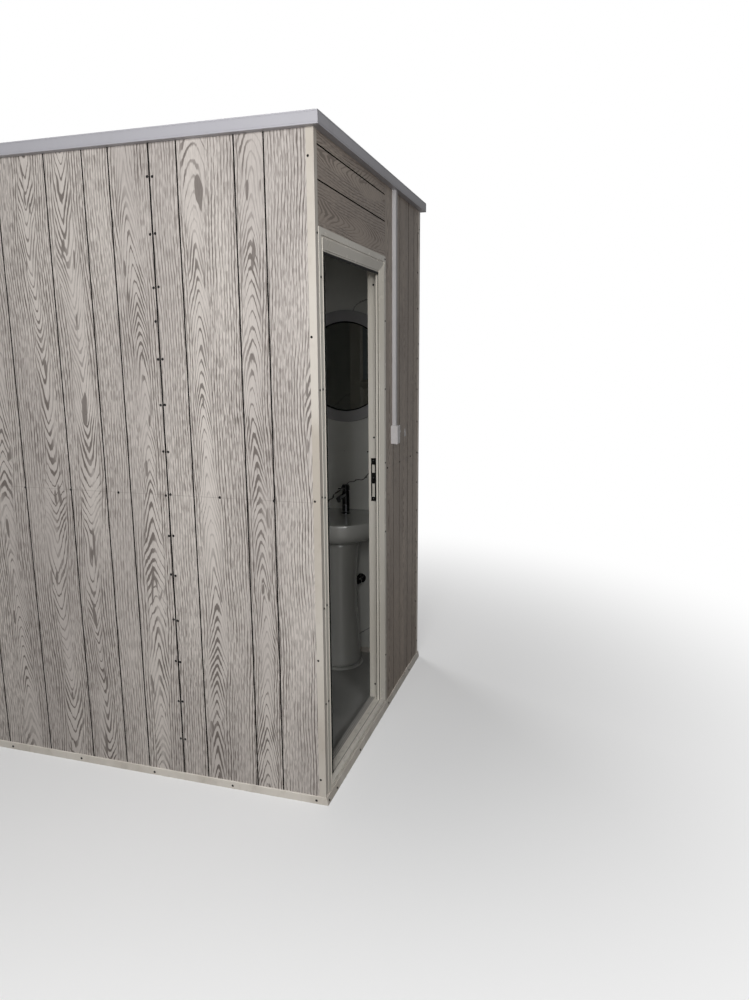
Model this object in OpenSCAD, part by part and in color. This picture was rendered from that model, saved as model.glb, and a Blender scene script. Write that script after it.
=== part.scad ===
// Washroom cubicle of a portable site cabin: insulated walls faced with
// random-groove boards, a plastic door frame with a hinged leaf, and a
// pedestal basin with a round mirror. Millimetres, +Z up. The origin is the
// centre of the base. The front wall faces -Y and the doorway faces +X.

/* [Cubicle] */
// Outside width along the front wall
width = 1800; // [1700:10:2400]
// Outside depth from the front wall to the back wall
depth = 1380; // [1340:10:1800]
// Height from the floor to the ceiling
height = 2290; // [2200:10:2500]

/* [Walls] */
// Thickness of the grooved wall boards
board_t = 9; // [6:1:12]
// Thickness of the insulated core
core_t = 42; // [38:1:60]
// Thickness of the washroom lining
lining_t = 9; // [5:1:12]
// Width of a board groove
groove_w = 5; // [2:0.5:6]
// Depth of a board groove
groove_d = 2; // [1:0.5:3]
// Thickness of the ceiling panel
ceiling_t = 40; // [30:5:60]

/* [Doorway] */
// Distance from the front wall's face to the door frame
door_start = 25; // [25:1:60]
// Outside width of the door frame
door_w = 752; // [700:1:800]
// Height of the door frame, which stands on the washroom's floor
door_h = 1950; // [1900:5:2050]
// How far the leaf stands open at rest, in degrees
open_deg = 84; // [0:1:84]

/* [Trims] */
// Height of the cable trunking along the ceiling
cornice_h = 40; // [25:1:60]
// Depth of the cable trunking along the ceiling
cornice_d = 25; // [16:1:30]
// Height of the skirting strips
skirting_h = 30; // [24:1:50]
// Thickness of the flat skirting strips on the front and the back
skirting_t = 4; // [3:0.5:6]
// Leg of the corner angles
trim_leg = 24; // [18:1:25]

/* [Basin] */
// Distance of the basin's centre from the doorway wall's face
basin_x = 350; // [330:5:500]
// Height of the basin's rim
rim_z = 800; // [780:5:850]
// Half the width of the basin
basin_hw = 240; // [235:5:260]
// Centre height of the mirror
mirror_z = 1526; // [1400:10:1650]
// Outside radius of the mirror's frame
mirror_r = 275; // [200:5:300]

/* [Hidden] */

$fn = 48;
inch = 25.4;

// Widths of the strips on one board sheet, left to right, in inches
strips = [4, 8, 4, 8, 8, 6, 4, 6];
sheet_w = 48 * inch;
sheet_gap = 6;
// The front and the doorway wall start with a cut sheet whose right edge lies here
front_joint = 1230;
front_sheet = front_joint - sheet_w;
side_joint = 1163;
side_sheet = side_joint - sheet_w;
// Lower edge of the lintel's sheet, which lies on its side
lintel_sheet = 1955;

wall_t = board_t + core_t + lining_t;
core_out = board_t;
lining_out = board_t + core_t;
wall_top = height - ceiling_t;
floor_board_t = 18;
floor_vinyl_t = 3;
floor_z = floor_board_t + floor_vinyl_t;
ceiling_lining_t = 8;
door_end = door_start + door_w;
door_top = floor_z + door_h;
side_skirting_t = 10;

// Door frame sections: u runs from the outer edge into the opening and v runs from the
// wall's face into the washroom. A flange, a groove and a ridge lead to the slope, and a
// step leads to the nose of the stop, which carries the seal. The sill has no stop.
frame_proud = 3;
stop_u = 70;
stop_v = 20;
rebate_u = 47;
slope_u = 60;
seal_u = 66;
nose_v = 10.5;
frame_face = [
    [0, -frame_proud], [21, -frame_proud], [22, -2], [22, 1], [29, 1], [29.5, -frame_proud], [31, -4]];
frame_section = concat(frame_face, [
    [56, 6.5], [slope_u, 7], [slope_u, nose_v], [stop_u, nose_v], [stop_u, stop_v],
    [rebate_u, stop_v], [rebate_u, wall_t], [0, wall_t]]);
sill_section = concat(frame_face, [[rebate_u, 2.72], [rebate_u, wall_t], [0, wall_t]]);
bulb_section = [[seal_u, 8.5], [69, 7], [74.5, 7], [76, 8.5], [74.5, nose_v], [seal_u, nose_v]];
flat_section = [[seal_u, 9.3], [71, 9.3], [71, nose_v], [seal_u, nose_v]];
lip_section = [[58, stop_v], [stop_u, stop_v], [71.5, 21], [70.5, 22], [58, 22]];

// Door leaf, in the doorway wall's own frame when it is closed
leaf_gap = 5;
leaf_u0 = door_start + rebate_u + leaf_gap;
leaf_u1 = door_end - rebate_u - leaf_gap - 3;
leaf_w = leaf_u1 - leaf_u0;
leaf_z0 = floor_z + rebate_u + 6;
leaf_z1 = door_top - rebate_u - 6;
leaf_h = leaf_z1 - leaf_z0;
leaf_v = stop_v + 7;
leaf_t = 40;
stile_w = 85;
panel_t = 10;
groove_u = 9;
rail_h = 60;
rail_z = [730, 1395];
leaf_bevel = 17;
leaf_section = [
    [0, 0], [stile_w - leaf_bevel, 0], [stile_w, 9],
    [stile_w, leaf_t / 2 - panel_t / 2], [stile_w - groove_u, leaf_t / 2 - panel_t / 2],
    [stile_w - groove_u, leaf_t / 2 + panel_t / 2], [stile_w, leaf_t / 2 + panel_t / 2],
    [stile_w, leaf_t - 9], [stile_w - leaf_bevel, leaf_t], [0, leaf_t]];

// Hinges: the axis lies inside the washroom beside the hinge jamb
axis_u = leaf_u0 - 4;
axis_v = leaf_v + leaf_t + 9;
knuckle_r = 7;
knuckle_h = 45;
pin_r = 3;
pin_clear = 0.08;
hinge_z = [260, 980, 1690];

// Lock
lock_z = 1060;
handle_u = leaf_u1 - 42;
handle_z = 1113;
strike_h = 185;
strike_w = 22;
strike_t = 2.5;
strike_v0 = 28;

// Basin: a round front, whose centre is its own Y 0, and a straight part back to the wall.
// Its outer profile and the bowl's are radius and height.
basin_back = 175;
seat_z = rim_z - 110;
basin_profile = [
    [basin_hw - 118, seat_z], [basin_hw - 75, seat_z + 4], [basin_hw - 35, seat_z + 16],
    [basin_hw - 12, seat_z + 38], [basin_hw - 2, seat_z + 66], [basin_hw, rim_z - 15],
    [basin_hw, rim_z - 8], [basin_hw - 2, rim_z - 2], [basin_hw - 7, rim_z]];
bowl_r = basin_hw - 24;
bowl_profile = [
    [0, seat_z + 4], [30, seat_z + 4], [bowl_r - 106, seat_z + 10], [bowl_r - 46, seat_z + 20],
    [bowl_r - 20, seat_z + 34], [bowl_r - 7, seat_z + 56], [bowl_r - 2, rim_z - 25],
    [bowl_r, rim_z - 10], [bowl_r + 1, rim_z + 1], [0, rim_z + 1]];
bowl_back = 27;
bowl_wall = 15;
ledge_t = 20;
tap_at = [18, 65];
shank_r = 15;
nut_r = 21;
ring_n = 36;

// Frame of each wall: X runs to the right seen from outside, Y into the wall.
// 0 is the front, 1 the doorway wall, 2 the back and 3 the left wall.
function wall_len(i) = i % 2 == 0 ? width : depth;
module on_wall(i) {
    corner = [[-width, -depth], [width, -depth], [width, depth], [-width, depth]][i] / 2;
    translate([corner[0], corner[1], 0]) rotate([0, 0, 90 * i]) children();
}

// The leaf and what is on it, swung open from its closed place
module on_leaf() {
    on_wall(1)
        translate([axis_u, axis_v, 0]) rotate([0, 0, open_deg]) translate([-axis_u, -axis_v, 0])
            children();
}

module slab(x0, x1, y0, y1, z0, z1) {
    translate([x0, y0, z0]) cube([x1 - x0, y1 - y0, z1 - z0]);
}

// Distance of groove i from its sheet's left edge
function strip_sum(i) = i == 0 ? 0 : strip_sum(i - 1) + strips[i - 1] * inch;
function grooves(sheet, from, to) = [
    for (i = [1:len(strips) - 1])
        let (p = sheet + strip_sum(i))
            if (p > from + groove_w && p < to - groove_w) p];

// Plan of a board from x = from to x = to, cut from the sheet that starts at x = sheet
function board_plan(sheet, from, to) = concat(
    [[from, 0]],
    [for (p = grooves(sheet, from, to)) each [
        [p - groove_w / 2, 0], [p - groove_w / 2, groove_d],
        [p + groove_w / 2, groove_d], [p + groove_w / 2, 0]]],
    [[to, 0], [to, board_t], [from, board_t]]);
module board(sheet, from, to, z0 = 0, z1 = height) {
    translate([0, 0, z0]) linear_extrude(z1 - z0) polygon(board_plan(sheet, from, to));
}

// Two sheets side by side, with the joint's gap between them
module board_pair(sheet, from, to) {
    joint = sheet + sheet_w;
    board(sheet, from, joint - sheet_gap / 2);
    board(joint, joint + sheet_gap / 2, to);
}

// A trim that runs round the outside of one wall, mitred at both ends.
// The section's first value is its distance outwards.
module run_trim(i, section, z) {
    hairline = 0.2;
    reach = 60;
    length = wall_len(i);
    on_wall(i) translate([0, 0, z]) intersection() {
        rotate([90, 0, 90]) translate([0, 0, -reach]) linear_extrude(length + 2 * reach)
            polygon([for (p = section) [-p[0], p[1]]]);
        translate([0, 0, -1]) linear_extrude(height) polygon([
            [hairline, 0], [length - hairline, 0],
            [length + reach - hairline, -reach], [hairline - reach, -reach]]);
    }
}

// One mitred member of a frame: along Z, with its section in X and Y. Its lower mitre
// rises to low, and whatever lies further in is cut level there.
full_mitre = 120;
module mitred(section, length, low) {
    reach = full_mitre + 1;
    intersection() {
        linear_extrude(length) polygon(section);
        translate([0, reach, 0]) rotate([90, 0, 0]) linear_extrude(2 * reach) polygon([
            [0, 0], [low, low], [reach, low], [reach, length - reach], [0, length]]);
    }
}
module jamb(section, length, low = full_mitre) mitred(section, length, low);
module far_jamb(section, length, across, low = full_mitre) {
    translate([across, 0, 0]) mirror([1, 0, 0]) mitred(section, length, low);
}
module sill(section, across) {
    mirror([1, 0, -1]) mitred(section, across, full_mitre);
}
module head(section, length, across) {
    translate([0, 0, length]) mirror([0, 0, 1]) sill(section, across);
}

// Lofted forms. A ring is [z, half width, front, back, middle, squareness of the back].
function ring_points(r) = [
    for (k = [0:ring_n - 1])
        let (a = 360 * k / ring_n, c = cos(a), s = sin(a), e = s < 0 ? 1 : 2 / r[5])
            [r[1] * sign(c) * pow(abs(c), e),
             r[4] + (s < 0 ? r[2] : r[3]) * sign(s) * pow(abs(s), e),
             r[0]]];
module loft(rings) {
    m = len(rings);
    n = ring_n;
    points = [for (r = rings) each ring_points(r)];
    sides = [
        for (i = [0:m - 2], k = [0:n - 1])
            let (a = i * n + k, b = i * n + (k + 1) % n)
                each [[a, a + n, b], [b, a + n, b + n]]];
    bottom = [[for (k = [0:n - 1]) k]];
    top = [[for (k = [n - 1:-1:0]) (m - 1) * n + k]];
    polyhedron(points, concat(sides, bottom, top));
}
function mix(a, b, t) = a + (b - a) * t;

// A layer of the floor, with a tongue that runs out under the door frame
module floor_layer(z0, z1) {
    on_wall(1) translate([0, 0, z0]) linear_extrude(z1 - z0) polygon([
        [door_start, 0], [door_end, 0], [door_end, wall_t], [depth - wall_t, wall_t],
        [depth - wall_t, width - wall_t], [wall_t, width - wall_t], [wall_t, wall_t], [door_start, wall_t]]);
}

module floor_board() color("tan")
    floor_layer(0, floor_board_t);

module floor_vinyl() color("gray")
    floor_layer(floor_board_t, floor_z);

module ceiling_panel() color("whitesmoke")
    slab(-width / 2 + board_t, width / 2 - board_t, -depth / 2 + board_t, depth / 2 - board_t,
         wall_top, height);

module ceiling_lining() color("white")
    slab(-width / 2 + wall_t, width / 2 - wall_t, -depth / 2 + wall_t, depth / 2 - wall_t,
         wall_top - ceiling_lining_t, wall_top);

// The front core is notched for the hinge jamb and keeps a post behind the corner angle
module front_core() color("lightyellow") on_wall(0) {
    difference() {
        slab(board_t, width - board_t, core_out, lining_out, 0, wall_top);
        slab(width - wall_t, width, door_start, wall_t, -1, door_top);
    }
    slab(width - board_t, width, board_t, door_start, 0, door_top);
}

module front_board_left() color("gainsboro") on_wall(0)
    board(front_sheet, 0, front_joint - sheet_gap / 2);

module front_board_right() color("gainsboro") on_wall(0)
    board(front_joint, front_joint + sheet_gap / 2, width);

module front_lining() color("white") on_wall(0)
    slab(wall_t, width - wall_t, lining_out, wall_t, 0, wall_top);

module side_core() color("lightyellow") on_wall(1)
    slab(door_end, depth - lining_out, core_out, lining_out, 0, wall_top);

module side_board() color("gainsboro") on_wall(1) {
    board(side_sheet, door_end, side_joint - sheet_gap / 2);
    board(side_joint, side_joint + sheet_gap / 2, depth - board_t);
}

module side_lining() color("white") on_wall(1)
    slab(door_end, depth - lining_out, lining_out, wall_t, 0, wall_top);

module lintel_core() color("lightyellow") on_wall(1)
    slab(lining_out, door_end, core_out, lining_out, door_top, wall_top);

// The lintel's board lies on its side, so its grooves are level
module lintel_board() color("gainsboro") on_wall(1) {
    up = [strips[7], strips[7] + strips[6]] * inch;
    difference() {
        slab(board_t, door_end, 0, board_t, door_top, height);
        for (z = up)
            slab(0, depth, -1, groove_d, lintel_sheet + z - groove_w / 2, lintel_sheet + z + groove_w / 2);
    }
}

module lintel_lining() color("white") on_wall(1)
    slab(wall_t, door_end, lining_out, wall_t, door_top, wall_top);

module back_core() color("lightyellow") on_wall(2)
    slab(board_t, width - board_t, core_out, lining_out, 0, wall_top);

module back_boards() color("gainsboro") on_wall(2)
    board_pair(0, 0, width);

module back_lining() color("white") on_wall(2)
    slab(wall_t, width - wall_t, lining_out, wall_t, 0, wall_top);

module left_core() color("lightyellow") on_wall(3)
    slab(lining_out, depth - lining_out, core_out, lining_out, 0, wall_top);

module left_boards() color("gainsboro") on_wall(3)
    board_pair(board_t, board_t, depth - board_t);

module left_lining() color("white") on_wall(3)
    slab(lining_out, depth - lining_out, lining_out, wall_t, 0, wall_top);

// One angle at each corner, between the skirting and the cornice
module corner_trims() color("ivory") {
    angle_t = 1.5;
    for (i = [0:3]) on_wall(i) translate([0, 0, skirting_h]) linear_extrude(height - skirting_h - cornice_h)
        polygon([
            [-angle_t, -angle_t], [trim_leg, -angle_t], [trim_leg, 0],
            [0, 0], [0, trim_leg], [-angle_t, trim_leg]]);
}

// The front and the back have flat strips. Those on the sides are thicker, with a sloping
// face, and cover the ends of the flat ones. The doorway's is cut away behind for the frame.
module skirting() color("ivory") {
    clear = 0.5;
    flat = [[0, 0], [skirting_t, 0], [skirting_t, skirting_h - 2], [skirting_t - 1.5, skirting_h], [0, skirting_h]];
    sloping = [
        [0, 0], [side_skirting_t, 0], [side_skirting_t, 4], [side_skirting_t - 3.5, skirting_h - 6],
        [side_skirting_t - 4.5, skirting_h], [0, skirting_h]];
    for (i = [0, 2]) strip(i, flat, 0.2, width - 0.2);
    strip(3, sloping, -skirting_t, depth + skirting_t);
    difference() {
        strip(1, sloping, -skirting_t, depth + skirting_t);
        on_wall(1) slab(door_start - clear, door_end + clear, -frame_proud - 0.1, 1, floor_z - clear, skirting_h + 1);
    }
}
module strip(i, section, from, to) {
    on_wall(i) rotate([90, 0, 90]) translate([0, 0, from]) linear_extrude(to - from)
        polygon([for (p = section) [-p[0], p[1]]]);
}

// Trunking with a clipped lid, whose two edges show as lines
module cornice() color("lavender") {
    lip = 5;
    step = 1;
    for (i = [0:3]) run_trim(i, [
        [0, 0], [cornice_d - step, 0], [cornice_d, step], [cornice_d, lip],
        [cornice_d - step, lip], [cornice_d - step, lip + step], [cornice_d, lip + step],
        [cornice_d, cornice_h - lip - step], [cornice_d - step, cornice_h - lip - step],
        [cornice_d - step, cornice_h - lip], [cornice_d, cornice_h - lip],
        [cornice_d, cornice_h - step], [cornice_d - step, cornice_h], [0, cornice_h]], height - cornice_h);
}

// A small strip round the washroom's floor, cut short at the doorway
strip_h = 24;
strip_t = 8;
module inner_strip(from, to) {
    slab(from, to, wall_t, wall_t + strip_t, floor_z, floor_z + strip_h);
}
module inner_skirting() color("ivory") {
    butt = wall_t + strip_t + 0.3;
    on_wall(0) inner_strip(wall_t, width - wall_t);
    on_wall(1) inner_strip(door_end, depth - butt);
    on_wall(2) inner_strip(wall_t, width - wall_t);
    on_wall(3) inner_strip(butt, depth - butt);
}

// The trunking drops from the ceiling to a narrow box, along its right-hand edge
drop_u = 899.5;
drop_w = 25;
drop_d = 16;
box_u = 888;
box_z = 1198;
box_h = 80;
box_w = 46;

module switch_trunking() color("lavender") on_wall(1) {
    lip = 3;
    translate([drop_u - drop_w / 2, 0, box_z + box_h]) linear_extrude(height - cornice_h - box_z - box_h)
        polygon([
            [0, 0], [0, -drop_d + 1], [1, -drop_d], [lip, -drop_d], [lip, -drop_d + 1],
            [lip + 1, -drop_d + 1], [lip + 1, -drop_d], [drop_w - lip - 1, -drop_d],
            [drop_w - lip - 1, -drop_d + 1], [drop_w - lip, -drop_d + 1], [drop_w - lip, -drop_d],
            [drop_w - 1, -drop_d], [drop_w, -drop_d + 1], [drop_w, 0]]);
}

// A surface box with a plate whose edges are chamfered
module switch_box() color("white") on_wall(1) {
    base_d = 24;
    plate_d = 6;
    chamfer = 2;
    translate([box_u, 0, box_z]) {
        slab(-box_w / 2 + 1, box_w / 2 - 1, -base_d, 0, 1, box_h);
        intersection() {
            linear_extrude(box_h) polygon([
                [-box_w / 2, -base_d], [box_w / 2, -base_d], [box_w / 2, -base_d - plate_d + chamfer],
                [box_w / 2 - chamfer, -base_d - plate_d], [-box_w / 2 + chamfer, -base_d - plate_d],
                [-box_w / 2, -base_d - plate_d + chamfer]]);
            rotate([90, 0, 90]) translate([0, 0, -box_w]) linear_extrude(2 * box_w) polygon([
                [-base_d, 0], [-base_d, box_h], [-base_d - plate_d + chamfer, box_h],
                [-base_d - plate_d, box_h - chamfer], [-base_d - plate_d, chamfer],
                [-base_d - plate_d + chamfer, 0]]);
        }
    }
}

module in_doorway(z = floor_z) {
    on_wall(1) translate([door_start, 0, z]) children();
}

module frame_jamb_hinge() color("ivory") in_doorway()
    jamb(frame_section, door_h, rebate_u);

// The lock jamb is cut out for the strike plate
module frame_jamb_lock() color("ivory") difference() {
    in_doorway() far_jamb(frame_section, door_h, door_w, rebate_u);
    in_doorway(0) slab(
        door_w - rebate_u - 1, door_w - rebate_u + strike_t, strike_v0, strike_v0 + strike_w,
        lock_z - strike_h / 2, lock_z + strike_h / 2);
}

module frame_head() color("ivory") in_doorway()
    head(frame_section, door_h, door_w);

module frame_sill() color("ivory") in_doorway()
    sill(sill_section, door_w);

// The seal on three sides: a bulb before the stop, which is flat on the lock's side, and
// a lip behind the stop
module frame_gasket() color("dimgray") in_doorway()
    for (sections = [[bulb_section, flat_section], [lip_section, lip_section]]) {
        jamb(sections[0], door_h, rebate_u);
        far_jamb(sections[1], door_h, door_w, rebate_u);
        head(sections[0], door_h, door_w);
    }

// Lower halves of the hinges, with their pins, on the inner face of the jamb
module frame_hinges() color("silver") on_wall(1)
    for (z = hinge_z) {
        slab(wall_t + 1, axis_u - 1, wall_t, wall_t + 3, z, z + knuckle_h);
        slab(axis_u - knuckle_r, axis_u - 1, wall_t, axis_v, z, z + knuckle_h);
        translate([axis_u, axis_v, z]) cylinder(r = knuckle_r, h = knuckle_h);
        translate([axis_u, axis_v, z]) cylinder(r = pin_r, h = knuckle_h + 30);
    }

// Upper halves of the hinges, on the inner face of the leaf
module leaf_hinges() color("silver") on_leaf()
    for (z = hinge_z) translate([0, 0, z + knuckle_h + 0.5]) difference() {
        union() {
            translate([axis_u, axis_v, 0]) cylinder(r = knuckle_r, h = knuckle_h);
            slab(axis_u + 1, axis_u + knuckle_r, leaf_v + leaf_t, axis_v, 0, knuckle_h);
            slab(axis_u + 5, leaf_u0 + 42, leaf_v + leaf_t, leaf_v + leaf_t + 3, 0, knuckle_h);
        }
        translate([axis_u, axis_v, -1]) cylinder(r = pin_r + pin_clear, h = 33);
    }

module strike_plate() color("black") in_doorway(0) difference() {
    slab(door_w - rebate_u, door_w - rebate_u + strike_t, strike_v0, strike_v0 + strike_w,
         lock_z - strike_h / 2, lock_z + strike_h / 2);
    for (z = [[986, 1044], [1090, 1125]])
        slab(door_w - rebate_u - 1, door_w - rebate_u + strike_t + 1,
             strike_v0 + 5, strike_v0 + strike_w - 5, z[0], z[1]);
}

module on_basin() {
    translate([width / 2 - basin_x, depth / 2 - wall_t - basin_back, 0]) children();
}

// The bowl is round with a straight back, the ledge behind it is hollow from
// below, and a boss carries the waste down into the pedestal. Holes are cut for
// the waste, the overflow and the tap.
module basin() color("whitesmoke") on_basin() difference() {
    big = 400;
    waste_r = 22;
    overflow_r = 9;
    union() {
        difference() {
            rotate_extrude() polygon(concat([[0, seat_z]], basin_profile, [[0, rim_z]]));
            slab(-big, big, 0, big, 0, rim_z + 1);
        }
        translate([0, basin_back, 0]) rotate([90, 0, 0]) linear_extrude(basin_back)
            polygon(concat(basin_profile, [for (k = [len(basin_profile) - 1:-1:0]) [-basin_profile[k][0], basin_profile[k][1]]]));
        rotate_extrude() polygon([[0, seat_z - 16], [52, seat_z - 16], [60, seat_z - 8], [60, seat_z + 1], [0, seat_z + 1]]);
    }
    difference() {
        rotate_extrude() polygon(bowl_profile);
        slab(-big, big, bowl_back, big, 0, big + rim_z);
    }
    slab(-basin_hw + 60, basin_hw - 60, bowl_back + bowl_wall, basin_back - 12, 0, rim_z - ledge_t);
    translate([0, 0, seat_z - 17]) cylinder(r = waste_r, h = 30);
    translate([0, bowl_back - 10, seat_z + 68]) rotate([-90, 0, 0]) cylinder(r = overflow_r, h = bowl_wall + 20);
    translate([tap_at[0], tap_at[1], rim_z - ledge_t - 1]) cylinder(r = shank_r + 2, h = ledge_t + 2);
}

// A column with a narrow waist and a wide foot, open at the back
// t is 0 at the foot and 1 at the top
function waist(t) = 76 + 30 * pow(1 - t, 2) + 36 * pow(t, 6);
module column(inset, z0, z1) {
    loft([
        for (t = [0:0.1:1])
            [mix(z0, z1, t), waist(t) - inset, waist(t) * 0.98 - inset, 100, 0, 2.6]]);
}
module pedestal() color("whitesmoke") {
    shell = 12;
    on_basin() translate([0, 5, 0]) difference() {
        column(0, floor_z, seat_z);
        column(shell, floor_z - 1, seat_z + 1);
        slab(-50, 50, 0, 150, floor_z - 1, seat_z + 1);
    }
}

// Single-lever mixer on the basin's ledge: a turned body whose shank and nut hold the
// ledge, a spout with its nozzle, and a lever
module tap() color("silver") on_basin()
    translate([tap_at[0], tap_at[1], rim_z]) {
        rotate_extrude() polygon([
            [0, -ledge_t - 25], [shank_r - 1, -ledge_t - 25], [shank_r - 1, -ledge_t - 8], [nut_r, -ledge_t - 8],
            [nut_r, -ledge_t], [shank_r, -ledge_t], [shank_r, 0],
            [24, 0], [24, 4], [19, 8], [18, 112], [15, 114], [15, 117], [20, 118], [20, 138], [15, 146], [0, 148]]);
        translate([0, -8, 100]) rotate([94, 0, 0]) cylinder(r = 11, h = 104);
        translate([0, -104, 76]) cylinder(r = 9, h = 26);
        translate([-8, -88, 138]) rotate([-9, 0, 0]) cube([16, 84, 5]);
    }

module angle_valve() color("dimgray")
    translate([width / 2 - basin_x + 63, depth / 2 - wall_t, 430]) rotate([90, 0, 0]) {
        cylinder(r = 24, h = 5);
        cylinder(r = 10, h = 46);
        translate([0, 0, 44]) cylinder(r = 16, h = 18);
        translate([0, 0, 28]) rotate([-90, 0, 0]) cylinder(r = 7, h = 30);
    }

glass_r = mirror_r - 50;
module on_mirror() {
    translate([width / 2 - basin_x - 10, depth / 2 - wall_t, mirror_z]) rotate([90, 0, 0]) children();
}

module mirror_frame() color("lightgray") on_mirror()
    rotate_extrude($fn = 96) polygon([
        [0, 0], [mirror_r, 0], [mirror_r, 15], [mirror_r - 3, 18], [glass_r - 3, 18], [glass_r - 5, 16],
        [glass_r - 5, 10], [glass_r, 10], [glass_r, 6], [0, 6]]);

module mirror_glass() color("slategray") on_mirror()
    translate([0, 0, 6]) cylinder(r = glass_r, h = 4, $fn = 96);

// Welded stiles and rails. The panels sit in a groove round their edges.
module leaf_frame() color("ivory") on_leaf() difference() {
    translate([leaf_u0, leaf_v, leaf_z0]) {
        jamb(leaf_section, leaf_h);
        far_jamb(leaf_section, leaf_h, leaf_w);
        sill(leaf_section, leaf_w);
        head(leaf_section, leaf_h, leaf_w);
        for (z = rail_z) translate([stile_w - leaf_bevel, 0, z - leaf_z0]) leaf_rail();
    }
    slab(leaf_u1 - 3, leaf_u1 + 1, leaf_v + leaf_t / 2 - 8, leaf_v + leaf_t / 2 + 8, lock_z - 90, lock_z + 90);
}
module leaf_rail() {
    half = rail_h / 2;
    lip = leaf_t / 2 - panel_t / 2;
    side = [
        [half - leaf_bevel, 0], [half, 9], [half, lip], [half - groove_u, lip],
        [half - groove_u, leaf_t - lip], [half, leaf_t - lip], [half, leaf_t - 9], [half - leaf_bevel, leaf_t]];
    outline = concat(side, [for (k = [len(side) - 1:-1:0]) [-side[k][0], side[k][1]]]);
    mirror([1, 0, -1]) linear_extrude(leaf_w - 2 * (stile_w - leaf_bevel)) polygon(outline);
}

// Clear height of the leaf's three lights: below, between and above the rails
function light(k) = [
    k == 0 ? leaf_z0 + stile_w : rail_z[k - 1] + rail_h / 2,
    k == 2 ? leaf_z1 - stile_w : rail_z[k] - rail_h / 2];
module leaf_infill(k) {
    slab(leaf_u0 + stile_w - groove_u, leaf_u1 - stile_w + groove_u,
         leaf_v + leaf_t / 2 - panel_t / 2, leaf_v + leaf_t / 2 + panel_t / 2,
         light(k)[0] - groove_u, light(k)[1] + groove_u);
}

module leaf_glass() color("lightsteelblue") on_leaf()
    leaf_infill(2);

module leaf_panels() color("ivory") on_leaf() {
    leaf_infill(0);
    leaf_infill(1);
}

// A plate with a lever on each face of the leaf
module door_handles() color("white") on_leaf() {
    handle();
    translate([0, 2 * leaf_v + leaf_t, 0]) mirror([0, 1, 0]) handle();
}
module handle() {
    plate_h = 210;
    plate_w = 26;
    plate_t = 6;
    lever_r = 8;
    translate([handle_u, leaf_v, handle_z]) {
        rotate([90, 0, 0]) {
            translate([-plate_w / 2, -plate_h + 60, 0]) cube([plate_w, plate_h - plate_w / 2, plate_t]);
            translate([0, 60 - plate_w / 2, 0]) cylinder(r = plate_w / 2, h = plate_t);
            translate([0, 60 - plate_h, 0]) cylinder(r = plate_w / 2, h = plate_t);
            cylinder(r = lever_r, h = 46);
        }
        translate([0, -46, 0]) sphere(r = lever_r);
        translate([0, -46, 0]) rotate([0, -90, 0]) cylinder(r = lever_r, h = 108);
        translate([-108, -46, 0]) sphere(r = lever_r);
    }
}

module lock_faceplate() color("silver") on_leaf()
    slab(leaf_u1 - 3, leaf_u1, leaf_v + leaf_t / 2 - 8, leaf_v + leaf_t / 2 + 8, lock_z - 90, lock_z + 90);

floor_board();
floor_vinyl();
ceiling_panel();
ceiling_lining();
front_core();
front_board_left();
front_board_right();
front_lining();
side_core();
side_board();
side_lining();
lintel_core();
lintel_board();
lintel_lining();
back_core();
back_boards();
back_lining();
left_core();
left_boards();
left_lining();
corner_trims();
skirting();
cornice();
inner_skirting();
switch_trunking();
switch_box();
frame_jamb_hinge();
frame_jamb_lock();
frame_head();
frame_sill();
frame_gasket();
frame_hinges();
strike_plate();
basin();
pedestal();
tap();
angle_valve();
mirror_frame();
mirror_glass();
leaf_frame();
leaf_glass();
leaf_panels();
leaf_hinges();
door_handles();
lock_faceplate();
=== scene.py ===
import math
import random

import bmesh
import bpy
from mathutils import Matrix, Vector


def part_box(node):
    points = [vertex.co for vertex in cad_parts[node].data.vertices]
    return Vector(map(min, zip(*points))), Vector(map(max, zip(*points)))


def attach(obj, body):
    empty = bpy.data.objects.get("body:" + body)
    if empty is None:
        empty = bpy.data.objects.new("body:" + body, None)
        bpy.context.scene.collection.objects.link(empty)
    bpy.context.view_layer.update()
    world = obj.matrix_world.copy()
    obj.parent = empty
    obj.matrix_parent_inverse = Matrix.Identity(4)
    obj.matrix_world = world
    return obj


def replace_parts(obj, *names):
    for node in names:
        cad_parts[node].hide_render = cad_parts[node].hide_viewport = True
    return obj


# Looks of the washroom cubicle. Metres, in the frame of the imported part:
# the front wall faces -Y and the doorway faces +X.
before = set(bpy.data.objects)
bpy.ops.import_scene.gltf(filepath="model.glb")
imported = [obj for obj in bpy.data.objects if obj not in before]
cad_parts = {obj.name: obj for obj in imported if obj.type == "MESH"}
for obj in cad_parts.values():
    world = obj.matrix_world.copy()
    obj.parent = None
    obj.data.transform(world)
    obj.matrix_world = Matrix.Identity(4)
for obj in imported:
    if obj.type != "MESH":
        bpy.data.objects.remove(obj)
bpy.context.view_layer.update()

MM = 0.001
INCH = 0.0254

# Driving sizes, the same as the part's
WIDTH = 1.800
DEPTH = 1.380
WALL_T = 0.060
FLOOR_Z = 0.021
SHEET_W = 48 * INCH
FRONT_JOINT = 1.230
SIDE_JOINT = 1.163
LEFT_EDGE = 9 * MM
LINTEL_SHEET = 1.955
DOOR_START = 0.025
DOOR_END = DOOR_START + 0.752
REBATE = 0.047
BASIN_BACK = 0.175
BASIN_AT = (WIDTH / 2 - 0.350, DEPTH / 2 - WALL_T - BASIN_BACK)
RIM_Z = 0.800
SEAT_Z = RIM_Z - 0.110
BASIN_HW = 0.240

random.seed(7)


# Colour from a hex code, as the linear values that Blender works in
def linear(code):
    values = [int(code[k:k + 2], 16) / 255 for k in (1, 3, 5)]
    return tuple(v / 12.92 if v <= 0.04045 else ((v + 0.055) / 1.055) ** 2.4 for v in values) + (1.0,)


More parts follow.
